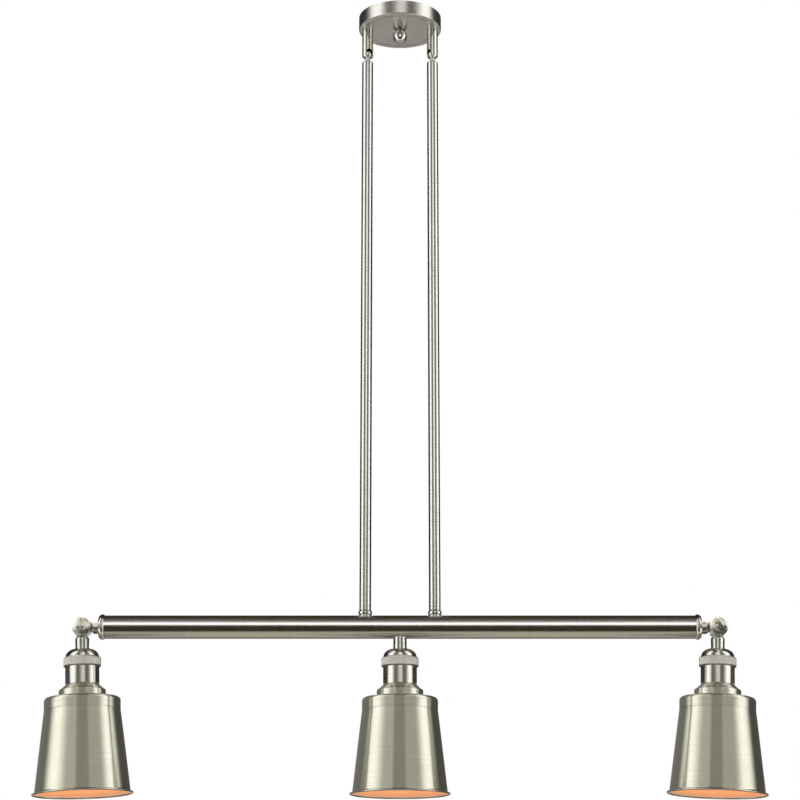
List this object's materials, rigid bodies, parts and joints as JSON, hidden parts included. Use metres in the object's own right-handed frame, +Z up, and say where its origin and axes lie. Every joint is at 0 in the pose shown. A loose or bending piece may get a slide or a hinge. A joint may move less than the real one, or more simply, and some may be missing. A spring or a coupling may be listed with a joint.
{
  "type": "linear island pendant",
  "caption": "Linear island pendant: round ceiling canopy, jointed stems, a horizontal round bar and metal cone shades, the end ones on tilting knuckles.",
  "frame": {"origin": "centre of the canopy on the ceiling plane, midway between the two box screw slots", "axes": "+Z up along the stems, +X along the bar to the viewer's right, -Y towards the viewer"},
  "size_m": [0.9308, 0.1282, 1.0741],
  "materials": {
    "satin_nickel": "satin, fine turned grain",
    "shade_metal": "satin outside with a vertical brushed grain, pale inside",
    "knurled_nickel": "matte, fine diamond knurl",
    "zinc_steel": "zinc plated, dull",
    "porcelain": "glazed white porcelain",
    "brass": "stamped brass",
    "bulb_cap": "rolled thread, satin",
    "bulb_glass": "warm tinted glass, lit"
  },
  "bodies": {
    "canopy": {"canopy_cup": "satin_nickel", "mounting_crossbar": "zinc_steel", "canopy_stud": "zinc_steel", "canopy_fasteners": "zinc_steel", "swivel_nipples": "zinc_steel", "left_swivel_barrel": "satin_nickel", "right_swivel_barrel": "satin_nickel"},
    "canopy_knob": {"ball_finial": "satin_nickel"},
    "hanging_frame": {"ball_studs": "satin_nickel", "upper_stems": "satin_nickel", "middle_stems": "satin_nickel", "lower_stems": "satin_nickel", "stem_couplings": "satin_nickel", "stem_ferrules": "satin_nickel", "bar_collars": "satin_nickel", "bar_nipples": "zinc_steel", "saddle_nuts": "zinc_steel", "bar_tube": "satin_nickel", "left_end_cap": "satin_nickel", "right_end_cap": "satin_nickel", "left_knuckle_stub": "satin_nickel", "right_knuckle_stub": "satin_nickel", "knuckle_rear_caps": "satin_nickel", "centre_neck": "satin_nickel", "centre_neck_collar": "satin_nickel", "centre_socket_cap": "satin_nickel", "centre_socket_shell": "satin_nickel", "centre_socket_insert": "porcelain", "centre_socket_contacts": "brass", "centre_shade_holder": "satin_nickel", "centre_shade": "shade_metal", "centre_bulb_base": "bulb_cap", "centre_bulb_glass": "bulb_glass"},
    "left_lamp": {"left_neck": "satin_nickel", "left_neck_collar": "satin_nickel", "left_socket_cap": "satin_nickel", "left_socket_shell": "satin_nickel", "left_socket_insert": "porcelain", "left_socket_contacts": "brass", "left_shade_holder": "satin_nickel", "left_shade": "shade_metal", "left_bulb_base": "bulb_cap", "left_bulb_glass": "bulb_glass", "left_front_cap": "satin_nickel"},
    "right_lamp": {"right_neck": "satin_nickel", "right_neck_collar": "satin_nickel", "right_socket_cap": "satin_nickel", "right_socket_shell": "satin_nickel", "right_socket_insert": "porcelain", "right_socket_contacts": "brass", "right_shade_holder": "satin_nickel", "right_shade": "shade_metal", "right_bulb_base": "bulb_cap", "right_bulb_glass": "bulb_glass", "right_front_cap": "satin_nickel"},
    "left_thumb_screw": {"left_thumb_screw": "satin_nickel"},
    "right_thumb_screw": {"right_thumb_screw": "satin_nickel"},
    "left_knurled_ring": {"left_knurled_ring": "knurled_nickel"},
    "centre_knurled_ring": {"centre_knurled_ring": "knurled_nickel"},
    "right_knurled_ring": {"right_knurled_ring": "knurled_nickel"}
  },
  "joints": [
    {"name": "canopy_knob_turn", "type": "hinge", "parent": "canopy", "child": "canopy_knob", "pos_m": [0, 0, -0.027], "axis": [0, 0, 1], "continuous": true},
    {"name": "frame_swing", "type": "hinge", "parent": "canopy", "child": "hanging_frame", "pos_m": [0, 0, -0.055], "axis": [1, 0, 0], "range_deg": [-15, 15]},
    {"name": "left_lamp_tilt", "type": "hinge", "parent": "hanging_frame", "child": "left_lamp", "pos_m": [-0.4102, 0, -0.858], "axis": [0, 1, 0], "range_deg": [-17.6, 92.4]},
    {"name": "right_lamp_tilt", "type": "hinge", "parent": "hanging_frame", "child": "right_lamp", "pos_m": [0.4102, 0, -0.858], "axis": [0, -1, 0], "range_deg": [-17.6, 92.4]},
    {"name": "left_thumb_screw_turn", "type": "hinge", "parent": "hanging_frame", "child": "left_thumb_screw", "pos_m": [-0.4102, 0, -0.858], "axis": [0, 1, 0], "continuous": true},
    {"name": "right_thumb_screw_turn", "type": "hinge", "parent": "hanging_frame", "child": "right_thumb_screw", "pos_m": [0.4102, 0, -0.858], "axis": [0, 1, 0], "continuous": true},
    {"name": "left_knurled_ring_turn", "type": "hinge", "parent": "left_lamp", "child": "left_knurled_ring", "pos_m": [-0.4083, 0, -0.90346], "axis": [-0.0419, 0, 0.9991], "continuous": true},
    {"name": "centre_knurled_ring_turn", "type": "hinge", "parent": "hanging_frame", "child": "centre_knurled_ring", "pos_m": [0, 0, -0.9035], "axis": [0, 0, 1], "continuous": true},
    {"name": "right_knurled_ring_turn", "type": "hinge", "parent": "right_lamp", "child": "right_knurled_ring", "pos_m": [0.4083, 0, -0.90346], "axis": [0.0419, 0, 0.9991], "continuous": true}
  ]
}
